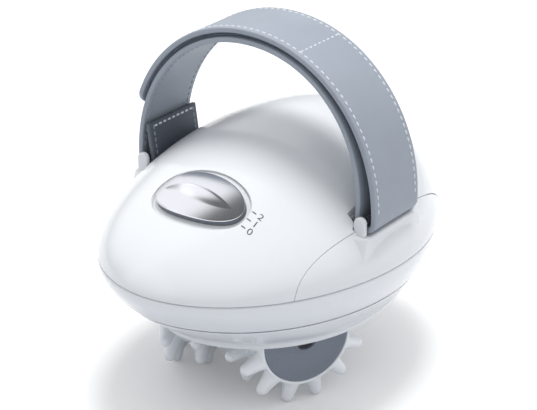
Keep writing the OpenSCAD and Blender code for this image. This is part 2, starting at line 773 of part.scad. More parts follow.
// Strap: one band that runs from its free end over the hand, round the right
// bar, back below itself, round the left bar and up to its sewn end
arch_cz = bar_z + 1.2;
loop_r = 3.4;
loop_shift = 0.6;
strap_top = crown_z + hand_gap + 2 * strap_t + 2 * tape_t + tape_play;
over_cx = -1.3;
over_a = bar_x + loop_r + loop_shift - over_cx;
over_b = strap_top - strap_t / 2 - arch_cz;
over_round = 2.05;
function over_point(q) = [
    over_cx + over_a * sign(cos(q)) * pow(abs(cos(q)), 2 / over_round),
    arch_cz + over_b * pow(abs(sin(q)), 2 / over_round)];
// The lower layer lies a tape's distance inside the upper one and comes
// closer to the hand on its way down to the turn-back bar
layer_gap = strap_t + 2 * tape_t + tape_play;
function inward(q) = let (a = over_point(max(0, q - 2)), b = over_point(min(180, q + 2)), d = unit(b - a))
    [-d[1], d[0]];
function layer_drop(q) = layer_gap + (2 * loop_r - layer_gap) * pow(max(0, 1 - q / 75), 2);
function under_point(q) = over_point(q) + layer_drop(q) * inward(q);
far_r = over_a - over_cx - layer_gap - bar_x;
end_angle = 164;
angle_step = 5.25;
strap_path = concat(
    [for (q = [0, 1.3, 3.2]) over_point(end_angle - q)],
    [for (i = [30:-1:0]) over_point(i * angle_step)],
    [for (i = [1:10]) [bar_x + loop_shift + loop_r * cos(-18 * i), bar_z + loop_r * sin(-18 * i)]],
    [for (i = [0:34]) under_point(i * angle_step)],
    [for (i = [0:8]) [-bar_x - far_r * cos(22.5 * i), bar_z - far_r * sin(22.5 * i)]],
    [for (i = [1:4]) [far_r - bar_x - 0.5 * i, bar_z + 3.4 * i]]);
end_widths = [0.5, 0.76, 0.93];
function unit(v) = v / norm(v);
function path_normal(path, i) = let (
        a = path[max(0, i - 1)],
        b = path[min(len(path) - 1, i + 1)],
        d = unit(b - a))
    [-d[1], d[0]];
function band_ring(path, i, t, w, lift = 0) = let (n = path_normal(path, i), c = path[i] + lift * n)
    [[c[0] - n[0] * t / 2, strap_y + w / 2, c[1] - n[1] * t / 2],
     [c[0] + n[0] * t / 2, strap_y + w / 2, c[1] + n[1] * t / 2],
     [c[0] + n[0] * t / 2, strap_y - w / 2, c[1] + n[1] * t / 2],
     [c[0] - n[0] * t / 2, strap_y - w / 2, c[1] - n[1] * t / 2]];
module strap_band() {
    color(strap_grey) stack([for (i = [0:len(strap_path) - 1])
        band_ring(strap_path, i, strap_t, strap_w * (i < 3 ? end_widths[i] : 1))]);
}
tape_w = strap_w - 5;
tape_lift = (strap_t + tape_t) / 2 + tape_play / 4;
module strap_loop_tape() {
    path = [for (i = [29:-1:3]) over_point(i * angle_step)];
    color("slategray") stack([for (i = [0:len(path) - 1]) band_ring(path, i, tape_t, tape_w, -tape_lift)]);
}
module strap_hook_tape() {
    path = [for (i = [29:-1:11]) under_point(i * angle_step) - tape_lift * inward(i * angle_step)];
    color("slategray") stack([for (i = [0:len(path) - 1]) band_ring(path, i, tape_t, tape_w)]);
}

module left() {
    mirror([1, 0, 0]) children();
}

top_cover();
side_cover();  // side_cover_right
left() side_cover();  // side_cover_left
lower_housing();
base_plate();
base_screws();
cord_gland();
strap_bar();  // strap_bar_right
left() strap_bar();  // strap_bar_left
strap_band();
strap_loop_tape();
strap_hook_tape();
switch_knob();
switch_slider();
switch_body();
circuit_board();
gearbox_housing();
gearbox_cap();
motor_can();
motor_shaft();
worm();
roller_sleeve();  // roller_sleeve_right
roller_core();  // roller_core_right
outer_disc();  // outer_disc_right
inner_disc();  // inner_disc_right
roller_shaft();  // roller_shaft_right
end_screw();  // end_screw_right
worm_wheel(0);  // worm_wheel_right
shaft_bush();  // shaft_bush_right
left() roller_sleeve();  // roller_sleeve_left
left() roller_core();  // roller_core_left
left() outer_disc();  // outer_disc_left
left() inner_disc();  // inner_disc_left
left() roller_shaft();  // roller_shaft_left
left() end_screw();  // end_screw_left
left() worm_wheel(left_phase);  // worm_wheel_left
left() shaft_bush();  // shaft_bush_left
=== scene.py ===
import math

import bmesh
import bpy
from mathutils import Matrix, Vector


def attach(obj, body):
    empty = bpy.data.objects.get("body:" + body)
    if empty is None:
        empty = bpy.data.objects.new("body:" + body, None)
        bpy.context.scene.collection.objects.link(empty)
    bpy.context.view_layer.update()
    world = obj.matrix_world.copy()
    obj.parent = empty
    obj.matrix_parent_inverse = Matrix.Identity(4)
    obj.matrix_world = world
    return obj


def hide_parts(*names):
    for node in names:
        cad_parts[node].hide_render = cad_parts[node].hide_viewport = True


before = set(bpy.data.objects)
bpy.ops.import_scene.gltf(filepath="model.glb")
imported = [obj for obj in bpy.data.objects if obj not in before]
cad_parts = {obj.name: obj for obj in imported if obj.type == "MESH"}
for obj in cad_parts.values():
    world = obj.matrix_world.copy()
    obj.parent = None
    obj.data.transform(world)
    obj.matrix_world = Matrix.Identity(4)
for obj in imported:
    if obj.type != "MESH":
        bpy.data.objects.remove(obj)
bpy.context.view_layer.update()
MM = 0.001

# Photographer's table: a pale sheet that runs out to white, one soft lamp
# above it and a white room. Glossy skins mirror two bright panels, at the back
# on the left and low in front on the left, in an otherwise dim room.
VIEW_TURN, VIEW_RISE, VIEW_FAR = math.radians(36.376), math.radians(24.488), 0.7225
look_at = Vector((0.0, -0.0011, 0.0633))
back = Vector((math.sin(VIEW_TURN) * math.cos(VIEW_RISE),
               -math.cos(VIEW_TURN) * math.cos(VIEW_RISE), math.sin(VIEW_RISE)))
camera_data = bpy.data.cameras.new("camera")
camera_data.lens, camera_data.sensor_width = 130.8, 36.0
camera_data.clip_start, camera_data.clip_end = 0.05, 20
camera = bpy.data.objects.new("camera", camera_data)
bpy.context.scene.collection.objects.link(camera)
camera.location = look_at + back * VIEW_FAR
camera.rotation_mode = "QUATERNION"
camera.rotation_quaternion = (-back).to_track_quat("-Z", "Y")
bpy.context.scene.camera = camera
bpy.context.scene.view_settings.view_transform = "Standard"


class Wire:
    """A shader socket that can be used in sums."""

    def __init__(self, look, socket):
        self.look, self.socket = look, socket

    def sum(self, operation, *values):
        return self.look.node("ShaderNodeMath", {"operation": operation}, dict(enumerate(values)))

    def __add__(self, other):
        return self.sum("ADD", self, other)

    def __mul__(self, other):
        return self.sum("MULTIPLY", self, other)

    __radd__, __rmul__ = __add__, __mul__


class Look:
    """A material whose nodes are added one by one."""

    def __init__(self, name):
        self.material = bpy.data.materials.new(name)
        self.material.use_nodes = True
        self.tree = self.material.node_tree
        self.shader = self.tree.nodes["Principled BSDF"]

    def node(self, kind, settings=None, inputs=None, output=0):
        made = self.tree.nodes.new(kind)
        for key, value in (settings or {}).items():
            setattr(made, key, value)
        self.fill(made, inputs or {})
        return Wire(self, made.outputs[output])

    def fill(self, made, inputs):
        for key, value in inputs.items():
            socket = made.inputs[key]
            if isinstance(value, Wire):
                self.tree.links.new(value.socket, socket)
            else:
                socket.default_value = value

    def set(self, **inputs):
        """Sets the shader's sockets, named with _ for each space."""
        self.fill(self.shader, {key.replace("_", " "): value for key, value in inputs.items()})

    def place(self, output="Object"):
        return self.node("ShaderNodeTexCoord", output=output)

    def noise(self, scale, detail=2.0, where=None):
        return self.node("ShaderNodeTexNoise", {}, {
            "Vector": where or self.place(), "Scale": scale, "Detail": detail})

    def bump(self, height, distance, strength=1.0):
        return self.node("ShaderNodeBump", {}, {
            "Height": height, "Distance": distance, "Strength": strength})

    def mix(self, factor, first, second):
        return self.node("ShaderNodeMix", {"data_type": "RGBA"}, {0: factor, 6: first, 7: second}, 2)


def rgb(red, green, blue):
    """Linear colour from the 0-255 values that a screen shows."""
    def linear(v):
        v /= 255
        return v / 12.92 if v <= 0.04045 else ((v + 0.055) / 1.055) ** 2.4
    return (linear(red), linear(green), linear(blue), 1.0)


def deselect():
    for thing in bpy.context.selected_objects:
        thing.select_set(False)


def active(name):
    """The object that an operator has just made, under its own name."""
    made = bpy.context.object
    made.name = made.data.name = name
    return made


FLOOR_SIZE, FLOOR_GLOW = 40, 0.05
deselect()
bpy.ops.mesh.primitive_plane_add(size=FLOOR_SIZE, location=(0, 0, 0))
floor = active("floor")
paper = Look("paper")
camera_ray = paper.node("ShaderNodeLightPath", output="Is Camera Ray")
glossy_ray = paper.node("ShaderNodeLightPath", output="Is Glossy Ray")
glow = paper.tree.nodes.new("ShaderNodeEmission")
glow.inputs["Strength"].default_value = 1.0
blend = paper.tree.nodes.new("ShaderNodeMixShader")
paper.tree.links.new((camera_ray * FLOOR_GLOW).socket, blend.inputs[0])
paper.tree.links.new(paper.shader.outputs[0], blend.inputs[1])
paper.tree.links.new(glow.outputs[0], blend.inputs[2])
paper.tree.links.new(blend.outputs[0], paper.tree.nodes["Material Output"].inputs["Surface"])
seen = camera_ray.sum("MAXIMUM", camera_ray, glossy_ray)
paper.set(Base_Color=paper.mix(seen, rgb(205, 208, 214), rgb(250, 250, 250)), Roughness=0.8)
floor.data.materials.append(paper.material)

world = bpy.data.worlds.new("room")
bpy.context.scene.world = world
world.use_nodes = True
sky = world.node_tree
room = sky.nodes["Background"]
room.inputs["Color"].default_value = (1, 1, 1, 1)
looking = sky.nodes.new("ShaderNodeTexCoord").outputs["Generated"]
rays = sky.nodes.new("ShaderNodeLightPath").outputs


def sky_node(kind, settings, inputs):
    made = sky.nodes.new(kind)
    for key, value in settings.items():
        setattr(made, key, value)
    for key, value in inputs.items():
        if isinstance(value, bpy.types.NodeSocket):
            sky.links.new(value, made.inputs[key])
        else:
            made.inputs[key].default_value = value
    return made.outputs[0]


def panel(way, start, full, dim, bright):
    """Brightness of the room that rises from dim to bright towards one side."""
    facing = sky.nodes.new("ShaderNodeVectorMath")
    facing.operation = "DOT_PRODUCT"
    facing.inputs[1].default_value = Vector(way).normalized()
    sky.links.new(looking, facing.inputs[0])
    return sky_node("ShaderNodeMapRange", {"interpolation_type": "SMOOTHSTEP"}, {
        "Value": facing.outputs["Value"], "From Min": start, "From Max": full,
        "To Min": dim, "To Max": bright})


soft_light = panel((0.1, 0.7, 0.7), -0.5, 0.9, 0.66, 1.06)
large_panel = panel((-0.68, 0.2, 0.7), 0.7, 0.88, 0.16, 1.2)
front_panel = panel((-0.54, -0.78, 0.32), 0.8, 0.92, 0.0, 1.1)
panels = sky_node("ShaderNodeMath", {"operation": "ADD"}, {0: large_panel, 1: front_panel})
for_objects = sky_node("ShaderNodeMix", {}, {0: rays["Is Glossy Ray"], 2: soft_light, 3: panels})
strength = sky_node("ShaderNodeMix", {}, {0: rays["Is Camera Ray"], 2: for_objects, 3: 1.0})
sky.links.new(strength, room.inputs["Strength"])

LAMP_SPOT, LAMP_AIM = Vector((-0.05, 0.12, 1.05)), Vector((0, 0, 0.05))
LAMP_SIZE, LAMP_WATTS = 0.32, 6.0
lamp_data = bpy.data.lights.new("key_lamp", "AREA")
lamp_data.shape, lamp_data.energy = "RECTANGLE", LAMP_WATTS
lamp_data.size = lamp_data.size_y = LAMP_SIZE
lamp = bpy.data.objects.new("key_lamp", lamp_data)
bpy.context.scene.collection.objects.link(lamp)
lamp.location = LAMP_SPOT
lamp.rotation_mode = "QUATERNION"
lamp.rotation_quaternion = (LAMP_AIM - LAMP_SPOT).to_track_quat("-Z", "Y")
lamp.visible_glossy = False

# Top cover: the domed shell that lies in the palm, moulded in glossy white
# plastic. All four kinds of housing piece are bands of one egg shape, each
# drawn through a stack of its outlines and given a wall.
HALF_LENGTH, HALF_WIDTH, DOME, BOWL = 75 * MM, 56 * MM, 38.8 * MM, 46.6 * MM
AXLE_Z = 25.991 * MM
WAIST_Z, SEAM_Z, BASE_SEAM_Z, RIM_Z = (AXLE_Z + lift * MM for lift in (30.1, 27.4, 14.1, 1.6))
WAIST_TILT, SEAM_TILT, BASE_SEAM_TILT = 0.016, -0.031, -0.034
WALL, SEAM_GAP = 2.2 * MM, 0.3 * MM
DOME_ROUND, BOWL_ROUND, SOFT_CROWN = 1.7, 1.82, 0.2
# Bluntness of the egg's ends, then how much wider or higher its rear is.
WIDTH_CURVE, RISE_CURVE, DROP_CURVE = (1.03, 0.026, 0.015), (1.08, 0.296, 0), (1.03, 0.216, -0.24)
SIDES = 192


def taper(y):
    c = max(-0.9999, min(0.9999, y / HALF_LENGTH))
    return c, math.sqrt(1 - c * c)


def reach_at(y, size, curve):
    """A reach of the egg's section at a place along it."""
    c, su = taper(y)
    blunt, lean, swell = curve
    return size * su ** blunt * (1 + lean * c + swell * c * c)


def waist(y):
    return WAIST_Z + WAIST_TILT * y


def half_width(y):
    return reach_at(y, HALF_WIDTH, WIDTH_CURVE)


def rise(y):
    return reach_at(y, DOME, RISE_CURVE)


def drop(y):
    return reach_at(y, BOWL, DROP_CURVE)


def fullness(share, n):
    """How far out the egg's cross-section reaches for a share of its curve."""
    low = SOFT_CROWN ** n
    span = (1 + SOFT_CROWN ** 2) ** (n / 2) - low
    return math.sqrt(max(0.0, (share * span + low) ** (2 / n) - SOFT_CROWN ** 2))


def share_of(reach, n):
    """The share of the curve at which the cross-section reaches that far."""
    low = SOFT_CROWN ** n
    span = (1 + SOFT_CROWN ** 2) ** (n / 2) - low
    return ((reach * reach + SOFT_CROWN ** 2) ** (n / 2) - low) / span


def dome_z(x, y):
    """Height of the dome's skin over a point."""
    u = min(1.0, abs(x) / half_width(y))
    return waist(y) + rise(y) * fullness(1 - share_of(u, DOME_ROUND), DOME_ROUND)


def edge_x(y, z):
    """Half width of the egg at a place along it and a height."""
    up = z - waist(y)
    n, height = (DOME_ROUND, rise(y)) if up >= 0 else (BOWL_ROUND, drop(y))
    return half_width(y) * fullness(1 - share_of(min(1.0, abs(up) / height), n), n)


def end_of(inside, outside, level, tilt):
    """Where a level that rises by tilt towards the rear leaves the egg."""
    for _ in range(40):
        middle = (inside + outside) / 2
        up = level + tilt * middle - waist(middle)
        if up < rise(middle) if up >= 0 else -up < drop(middle):
            inside = middle
        else:
            outside = middle
    return inside


def outline(level, tilt, middle=0.0):
    """Closed line round the egg at a level."""
    front = end_of(middle, -HALF_LENGTH, level, tilt)
    rear = end_of(middle, HALF_LENGTH, level, tilt)
    points = []
    for i in range(SIDES):
        q = 2 * math.pi * i / SIDES
        y = (front + rear) / 2 - (rear - front) / 2 * math.cos(q)
        z = level + tilt * y
        x = 0 if i % (SIDES // 2) == 0 else math.copysign(edge_x(y, z), math.sin(q))
        points.append(Vector((x, y, z)))
    return points


def quarter(steps):
    """Angles of a quarter turn."""
    return [math.pi / 2 * i / steps for i in range(steps + 1)]


def edit(thing, select="SELECT"):
    deselect()
    bpy.context.view_layer.objects.active = thing
    thing.select_set(True)
    bpy.ops.object.mode_set(mode="EDIT")
    bpy.ops.mesh.select_all(action=select)


def done():
    bpy.ops.object.mode_set(mode="OBJECT")


def outward(thing):
    edit(thing)
    bpy.ops.mesh.remove_doubles(threshold=1e-6)
    bpy.ops.mesh.normals_make_consistent(inside=False)
    done()
    return thing


def skin(name, outlines):
    """Surface through a stack of outlines, from a grid that is closed round."""
    deselect()
    bpy.ops.mesh.primitive_grid_add(x_subdivisions=SIDES, y_subdivisions=len(outlines) - 1, size=2)
    made = active(name)
    for v in made.data.vertices:
        i = round((v.co.x + 1) / 2 * SIDES)
        k = round((v.co.y + 1) / 2 * (len(outlines) - 1))
        v.co = outlines[k][i % SIDES]
    return outward(made)


def shape_with(thing, kind, **settings):
    deselect()
    bpy.context.view_layer.objects.active = thing
    thing.select_set(True)
    modifier = thing.modifiers.new(kind.lower(), kind)
    for key, value in settings.items():
        setattr(modifier, key, value)
    bpy.ops.object.modifier_apply(modifier=modifier.name)
    return thing


def carve(thing, tool, operation="DIFFERENCE", keep=False):
    shape_with(thing, "BOOLEAN", object=tool, operation=operation, solver="EXACT")
    if not keep:
        bpy.data.objects.remove(tool, do_unlink=True)
    return thing


def draw_in(thing, depth):
    """Closes an open skin and moves all of it inwards."""
    edit(thing, "DESELECT")
    bpy.ops.mesh.select_mode(type="EDGE")
    bpy.ops.mesh.select_non_manifold()
    bpy.ops.mesh.edge_face_add()
    bpy.ops.mesh.select_mode(type="VERT")
    bpy.ops.mesh.select_all(action="SELECT")
    bpy.ops.mesh.normals_make_consistent(inside=False)
    bpy.ops.transform.shrink_fatten(value=-depth)
    done()
    return thing


def shell(thing, thickness=WALL):
    return shape_with(thing, "SOLIDIFY", thickness=thickness, offset=-1, use_even_offset=True)


def soften(thing, width, segments=2, angle=40):
    """Rounds the edges that a mould leaves."""
    return shape_with(thing, "BEVEL", width=width, segments=segments, limit_method="ANGLE",
                      angle_limit=math.radians(angle), use_clamp_overlap=False, loop_slide=False)


def smooth(thing, angle=32):
    deselect()
    bpy.context.view_layer.objects.active = thing
    thing.select_set(True)
    bpy.ops.object.shade_smooth_by_angle(angle=math.radians(angle))
    return thing


def copied(thing, name):
    made = thing.copy()
    made.data = thing.data.copy()
    made.name = made.data.name = name
    bpy.context.scene.collection.objects.link(made)
    return made


def settle(thing):
    """Puts a piece's place into its mesh."""
    bpy.context.view_layer.update()
    thing.data.transform(thing.matrix_world)
    thing.matrix_world = Matrix.Identity(4)
    return thing


def turned_over(thing):
    """Moves a piece to the left side."""
    thing.data.transform(Matrix.Scale(-1, 4, (1, 0, 0)))
    thing.data.flip_normals()
    return thing


def block(name, low, high):
    deselect()
    bpy.ops.mesh.primitive_cube_add(size=1)
    made = active(name)
    for v in made.data.vertices:
        v.co = [low[i] if v.co[i] < 0 else high[i] for i in range(3)]
    return made


crown_y = max((y * 0.25 * MM for y in range(0, 200)), key=lambda y: waist(y) + rise(y))
crown_z = waist(crown_y) + rise(crown_y)
DOME_STEPS, MOULD_ROUND = 44, 0.6 * MM
dome_outlines = [outline(SEAM_Z + (crown_z - SEAM_Z) * math.sin(q), SEAM_TILT * (1 - math.sin(q)), crown_y)
                 for q in quarter(DOME_STEPS)]
dome_outlines[-1] = [Vector((0, crown_y, crown_z))] * SIDES
top_cover = skin("top_cover_skin", dome_outlines)
soften(shell(top_cover), MOULD_ROUND, 3)
whole_top = copied(top_cover, "whole_top")

# The switch's recess: an oval pan whose floor is bent over the knob's track.
SWITCH_Y, SWITCH_SLOPE, TRACK_BOW, OVAL = -42.4 * MM, math.radians(24), 53 * MM, 2.1
TRACK = Matrix.Translation((0, SWITCH_Y, dome_z(0, SWITCH_Y))) @ Matrix.Rotation(SWITCH_SLOPE, 4, "X")
KNOB_W, KNOB_L, KNOB_TRAVEL = 36.8 * MM, 20.7 * MM, 4.2 * MM
RECESS_W, RECESS_L, RECESS_H = KNOB_W + 2.8 * MM, KNOB_L + KNOB_TRAVEL + 1.4 * MM, 1.2 * MM


def rounded(wave, n):
    """Sine or cosine of an oval whose outline is fuller than an ellipse."""
    return math.copysign(abs(wave) ** (2 / n), wave)


def bent_puck(name, width, length, rings, around=128):
    """Oval body, bent over the track: share of the oval, inset and height of
    each ring from the bottom to the top. A height may be a function."""
    deselect()
    bpy.ops.mesh.primitive_uv_sphere_add(segments=around, ring_count=len(rings) + 1, radius=1)
    made = active(name)
    for v in made.data.vertices:
        k = round(math.acos(max(-1, min(1, -v.co.z))) / math.pi * (len(rings) + 1)) - 1
        pole = k < 0 or k >= len(rings)
        share, inset, height = rings[max(0, min(k, len(rings) - 1))]
        q = math.atan2(v.co.y, v.co.x)
        share = 0.0 if pole else share
        x = (width / 2 - inset) * share * rounded(math.cos(q), OVAL)
        y = (length / 2 - inset) * share * rounded(math.sin(q), OVAL)
        z = height(x, y, share) if callable(height) else height
        v.co = (x, y, z + math.sqrt(TRACK_BOW ** 2 - x * x) - TRACK_BOW)
    made.data.transform(TRACK)
    return outward(made)


def flat(height, around=(1.0,)):
    """Rings of a level face, from its middle out to its edge."""
    return [(share, 0, height) for share in (0.15, 0.4, 0.65, 0.85, *around)]


CUP_T, CUP_TOP, CUT_TOP = 2 * MM, 2 * MM, 12 * MM
cup_rings = flat(-RECESS_H - CUP_T) + flat(CUP_TOP)[::-1]
cup = bent_puck("cup", RECESS_W + 2 * WALL, RECESS_L + 2 * WALL, cup_rings)
inside_dome = draw_in(skin("inside_dome", dome_outlines), WALL / 2)
carve(cup, inside_dome, "INTERSECT")
carve(top_cover, cup, "UNION")
LIP_ROUND, FLOOR_ROUND = 0.4 * MM, 0.7 * MM
recess_rings = flat(-RECESS_H, ())
recess_rings += [(1, FLOOR_ROUND * (1 - math.sin(q)), -RECESS_H + FLOOR_ROUND * (1 - math.cos(q)))
                 for q in quarter(6)]
recess_rings += [(1, -LIP_ROUND * (1 - math.cos(q)), LIP_ROUND * (math.sin(q) - 1)) for q in quarter(6)]
recess_rings += flat(CUT_TOP)[::-1]
carve(top_cover, bent_puck("track", RECESS_W, RECESS_L, recess_rings))
STEM_W, STEM_L = 4.3 * MM, 5 * MM
slot = block("stem_slot", (-STEM_W, -STEM_L, -CUT_TOP), (STEM_W, STEM_L, CUP_TOP))
slot.data.transform(TRACK)
carve(top_cover, slot)

ARCH_Y, ARCH_HALF, ARCH_HIGH, ARCH_FOOT, ARCH_ROUND = 2 * MM, 47.5 * MM, 18 * MM, 6 * MM, 2.2


def arch_block(grow):
    """Block whose side outline is the arch of a side cover."""
    deselect()
    bpy.ops.mesh.primitive_cylinder_add(vertices=128, radius=1, depth=HALF_WIDTH)
    made = active("arch_block")
    for v in made.data.vertices:
        q = math.atan2(v.co.y, v.co.x)
        along = rounded(math.cos(q), ARCH_ROUND) * (ARCH_HALF + grow)
        up = (ARCH_HIGH + grow) * rounded(math.sin(q), ARCH_ROUND)
        if math.sin(q) < 0:
            up = -ARCH_FOOT * abs(math.sin(q)) ** 0.2
        v.co = (v.co.z + HALF_WIDTH, ARCH_Y + along, SEAM_Z + up)
    return outward(made)


BAR_X, BAR_Z, BAR_R = HALF_WIDTH - 6.8 * MM, WAIST_Z + 18 * MM, 1.4 * MM
STRAP_Y, STRAP_W, STRAP_T = 2 * MM, 28 * MM, 2 * MM
EAR_GAP, EAR_T, EAR_R, EAR_ROOM = STRAP_W / 2 + 0.6 * MM, 2 * MM, 2.3 * MM, 0.4 * MM
POCKET_Z, POCKET_X = BAR_Z - BAR_R - STRAP_T - 1.6 * MM, BAR_X - BAR_R - STRAP_T - 2.6 * MM
POCKET_GAP, ABOVE = 0.3 * MM, 30 * MM


def pocket_block(grow):
    return block("pocket", (POCKET_X - grow, STRAP_Y - EAR_GAP - grow, POCKET_Z - grow),
                 (POCKET_X + HALF_WIDTH, STRAP_Y + EAR_GAP + grow, POCKET_Z + ABOVE))


def ear_room():
    reach = EAR_GAP + EAR_T + EAR_ROOM
    return block("ear_room", (BAR_X - EAR_R - EAR_ROOM, STRAP_Y - reach, POCKET_Z - 2 * MM),
                 (HALF_WIDTH + BAR_X, STRAP_Y + reach, POCKET_Z + ABOVE))


for side in (1, -1):
    for tool in (arch_block(SEAM_GAP), pocket_block(POCKET_GAP), ear_room()):
        if side < 0:
            turned_over(tool)
        carve(top_cover, tool)
smooth(outward(top_cover))

white_plastic = Look("white_plastic")
flow = white_plastic.noise(18.0, 3.0)
fine = white_plastic.noise(900.0, 2.0)
white_plastic.set(
    Base_Color=white_plastic.mix(flow, rgb(220, 223, 227), rgb(225, 228, 231)),
    Roughness=0.22 + fine * 0.06,
    Normal=white_plastic.bump(fine, 0.00001, 0.2),
    Specular_IOR_Level=0.3, Coat_Weight=0.5, Coat_Roughness=0.03)


def dress(thing, look, body="housing", replaces=()):
    thing.data.materials.clear()
    thing.data.materials.append(look.material)
    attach(thing, body)
    if replaces:
        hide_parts(*replaces)
    return thing


dress(top_cover, white_plastic, replaces=["top_cover"])

# Side covers: arched panels below the strap with a wedge-shaped pad, two ears
# and a pocket for the strap's end, moulded in the same white plastic.
PAD_X, PAD_LONG, PAD_FOOT = BAR_X + 3.6 * MM, 33 * MM, WAIST_Z + 0.5 * MM
PAD_SUNK, PAD_DEEP, PAD_RISE, PAD_DROP = 0.2 * MM, 6 * MM, 1.2 * MM, 1 * MM
side_right = copied(whole_top, "side_cover_right_skin")
carve(side_right, arch_block(0), "INTERSECT")
pad = block("pad", (-1, -1, -1), (1, 1, 1))
# Each corner stands past the pad's half length by so many millimetres.
for v in pad.data.vertices:
    outer, way, top = v.co.x > 0, 1 if v.co.y > 0 else -1, v.co.z > 0
    if top:
        past = 0 if outer else 4 if way > 0 else 5
    else:
        past = (3 if way > 0 else 4.5) if outer else (8 if way > 0 else 9)
    y = STRAP_Y + way * (PAD_LONG / 2 + past * MM)
    if outer:
        v.co = (PAD_X if top else half_width(y) - PAD_SUNK, y, POCKET_Z if top else PAD_FOOT)
    else:
        v.co = (BAR_X - PAD_DEEP, y, POCKET_Z + PAD_RISE if top else PAD_FOOT - PAD_DROP)
edit(pad)
bpy.ops.mesh.convex_hull()
done()
PAD_ROUND, EAR_ROUND = 0.8 * MM, 0.5 * MM
soften(outward(pad), PAD_ROUND, 4, 15)
carve(side_right, pad, "UNION")

# The pocket's liner hangs below the top cover, inside the dome.
LINER_T, LINER_LAP, EAR_FOOT, BEYOND = 1.6 * MM, 0.1 * MM, 1 * MM, 0.1
inside_dome = draw_in(skin("inside_dome", dome_outlines), WALL - LINER_LAP)
liner = pocket_block(LINER_T)
carve(liner, inside_dome, "INTERSECT")
carve(liner, block("inside_bar", [-2 * BEYOND] * 3, (BAR_X, 2 * BEYOND, 2 * BEYOND)), "INTERSECT")
carve(side_right, liner, "UNION")
for way in (-1, 1):
    deselect()
    bpy.ops.mesh.primitive_cylinder_add(vertices=48, radius=EAR_R, depth=EAR_T, rotation=(math.pi / 2, 0, 0),
                                        location=(BAR_X, STRAP_Y + way * (EAR_GAP + EAR_T / 2), BAR_Z))
    ear = settle(active("ear"))
    for v in ear.data.vertices:
        if v.co.z < BAR_Z - 0.01 * MM:
            v.co.z += POCKET_Z - EAR_FOOT - BAR_Z + EAR_R
    soften(ear, EAR_ROUND, 3)
    carve(side_right, ear, "UNION")
carve(side_right, pocket_block(0))
smooth(outward(side_right))
side_left = turned_over(copied(side_right, "side_cover_left_skin"))
dress(side_right, white_plastic, replaces=["side_cover_right"])
dress(side_left, white_plastic, replaces=["side_cover_left"])
bpy.data.objects.remove(whole_top, do_unlink=True)

# Lower housing: the white ring between the two seams, moulded in the same
# plastic. Only its outer wall is made; its lip in the top cover and its bosses for the base screws are not.
def between(low, high, steps):
    """Levels and tilts of a stack of outlines from one to another."""
    return [tuple(a + (b - a) * i / steps for a, b in zip(low, high)) for i in range(steps + 1)]


lower_housing = skin("lower_housing_skin", [
    outline(*level) for level in between((SEAM_Z - SEAM_GAP, SEAM_TILT), (BASE_SEAM_Z, BASE_SEAM_TILT), 12)])
smooth(soften(shell(lower_housing), MOULD_ROUND, 3))
dress(lower_housing, white_plastic, replaces=["lower_housing"])

# Base plate: the flat foot of the housing with two round wells that leave the
# rollers room, moulded in white plastic and held by five screws from below.
STUD_REACH, ROLLER_L = 26.7 * MM, 19.6 * MM
TOE = math.radians(25.7)
ROLLER_X, ROLLER_Y = 32 * MM, -21.2 * MM
WELL_R = STUD_REACH + 0.6 * MM
ROLLER = (Matrix.Translation((ROLLER_X, ROLLER_Y, AXLE_Z)) @ Matrix.Rotation(-(math.pi / 2 + TOE), 4, "Z")
          @ Matrix.Rotation(math.pi / 2, 4, "X"))
RIM_H, FLOOR_T, BASE_ROUND = 1.6 * MM, 2 * MM, 0.35 * MM
base_outlines = [outline(*level) for level in between(
    (BASE_SEAM_Z - SEAM_GAP, BASE_SEAM_TILT), (RIM_Z + RIM_H, 0), 12)]
base_outlines.append([Vector((p.x, p.y, RIM_Z)) for p in base_outlines[-1]])
base = skin("base_plate_skin", base_outlines)
for v in base.data.vertices:
    v.select = abs(v.co.z - RIM_Z) < 0.001 * MM
bpy.context.view_layer.objects.active = base
bpy.ops.object.mode_set(mode="EDIT")
bpy.ops.mesh.select_mode(type="VERT")
bpy.ops.mesh.edge_face_add()
done()
inside_base = draw_in(copied(outward(base), "inside_base"), WALL / 4)
# The wells stay inside these rooms, so that they leave the foot's rim whole.
WELL_EDGE, FOOT_H, BELOW = 1.3 * MM, 8 * MM, 20 * MM
well_room = copied(inside_base, "well_room")
well_reach = draw_in(skin("well_reach", base_outlines[:-1] + [
    [Vector((p.x, p.y, RIM_Z - BELOW)) for p in base_outlines[-1]]]), WELL_EDGE)
for room in (well_room, well_reach):
    carve(room, block("above_foot", (-BEYOND, -BEYOND, RIM_Z + FOOT_H), [BEYOND] * 3), "UNION")
shell(base, FLOOR_T)
soften(base, BASE_ROUND)


def drum(name, radius, start, end):
    """Cylinder about the right roller's axle, from its outer face inwards."""
    deselect()
    bpy.ops.mesh.primitive_cylinder_add(vertices=128, radius=radius, depth=end - start,
                                        location=(0, 0, (start + end) / 2))
    made = settle(active(name))
    made.data.transform(ROLLER)
    return made


SCOOP_X, SCOOP_Y, SCOOP_Z, SCOOP_R = 25.6 * MM, -50.2 * MM, RIM_Z + 7.4 * MM, 5 * MM
WELL_OUT, WELL_DEEP, WELL_T, WELL_LAP = 0.8 * MM, 20.3 * MM, 1.2 * MM, 0.1 * MM


def scoop_ball(radius):
    deselect()
    bpy.ops.mesh.primitive_uv_sphere_add(segments=64, ring_count=48, radius=radius, scale=(0.85, 1, 0.95),
                                         location=(SCOOP_X, SCOOP_Y, SCOOP_Z))
    return settle(active("scoop"))


